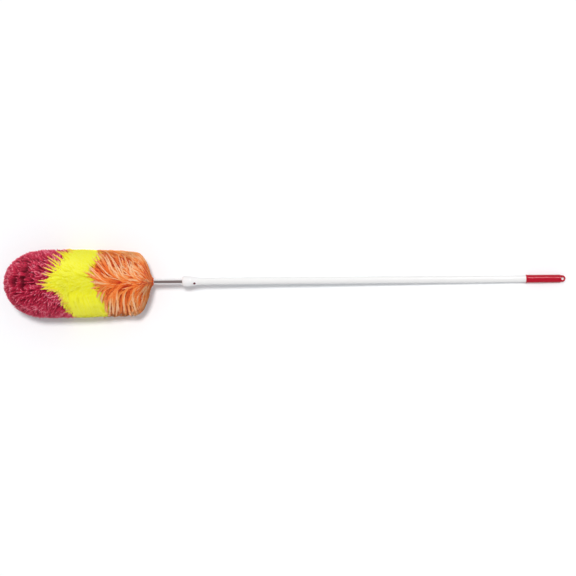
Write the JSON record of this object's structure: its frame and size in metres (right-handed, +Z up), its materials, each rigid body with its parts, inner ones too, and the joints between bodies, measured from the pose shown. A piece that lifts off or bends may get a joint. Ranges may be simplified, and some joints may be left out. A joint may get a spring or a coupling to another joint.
{
  "type": "telescopic duster",
  "caption": "Telescopic duster: a fluffy crimson, yellow and orange fibre head on a bright inner tube, in a white outer tube with a twist lock collar and a red hang grip.",
  "frame": {"origin": "centre of the bounding box at the floor that the duster lies on, touching it with the fibres of its head and the end of its grip", "axes": "+X along the duster on the floor, from the head towards the grip; +Z up; the pole's own axis leans 3.4 degrees down towards the grip"},
  "size_m": [1.2954, 0.1598, 0.1565],
  "materials": {
    "white_paint": "satin",
    "white_plastic": "satin",
    "natural_nylon": "satin",
    "bright_steel": "polished",
    "wire_steel": "satin",
    "red_plastic": "gloss",
    "pin_plastic": "satin",
    "crimson_fibre": "matte",
    "yellow_fibre": "matte",
    "orange_fibre": "matte"
  },
  "bodies": {
    "outer_pole": {"outer_tube": "white_paint", "hand_grip": "red_plastic", "collar_body": "white_plastic", "collar_pin": "pin_plastic"},
    "clamp": {"clamp_ring": "natural_nylon"},
    "nut": {"lock_nut": "white_plastic"},
    "slider": {"tail_guide": "natural_nylon"},
    "inner_pole": {"inner_tube": "bright_steel", "tail_plug": "natural_nylon", "head_plug": "natural_nylon", "core_wire": "wire_steel", "tip_tuft": "crimson_fibre", "tip_fibres": "crimson_fibre", "middle_fibres": "yellow_fibre", "base_fibres": "orange_fibre"}
  },
  "joints": [
    {"name": "ring_travel", "type": "slide", "parent": "outer_pole", "child": "clamp", "axis": [-0.9983, 0, 0.0588], "range_m": [0, 0.0011]},
    {"name": "nut_turn", "type": "hinge", "parent": "clamp", "child": "nut", "pos_m": [-0.2382, 0.00025, 0.06056], "axis": [-0.9983, 0, 0.0588], "range_deg": [0, 120]},
    {"name": "extend", "type": "slide", "parent": "outer_pole", "child": "slider", "axis": [-0.9983, 0, 0.0588], "range_m": [0, 0.7895]},
    {"name": "head_turn", "type": "hinge", "parent": "slider", "child": "inner_pole", "pos_m": [0.5693, 0.00025, 0.01298], "axis": [-0.9983, 0, 0.0588], "continuous": true}
  ],
  "couplings": [
    {"joint": "ring_travel", "follows": "nut_turn", "m_per_rad": 0.00047746}
  ]
}
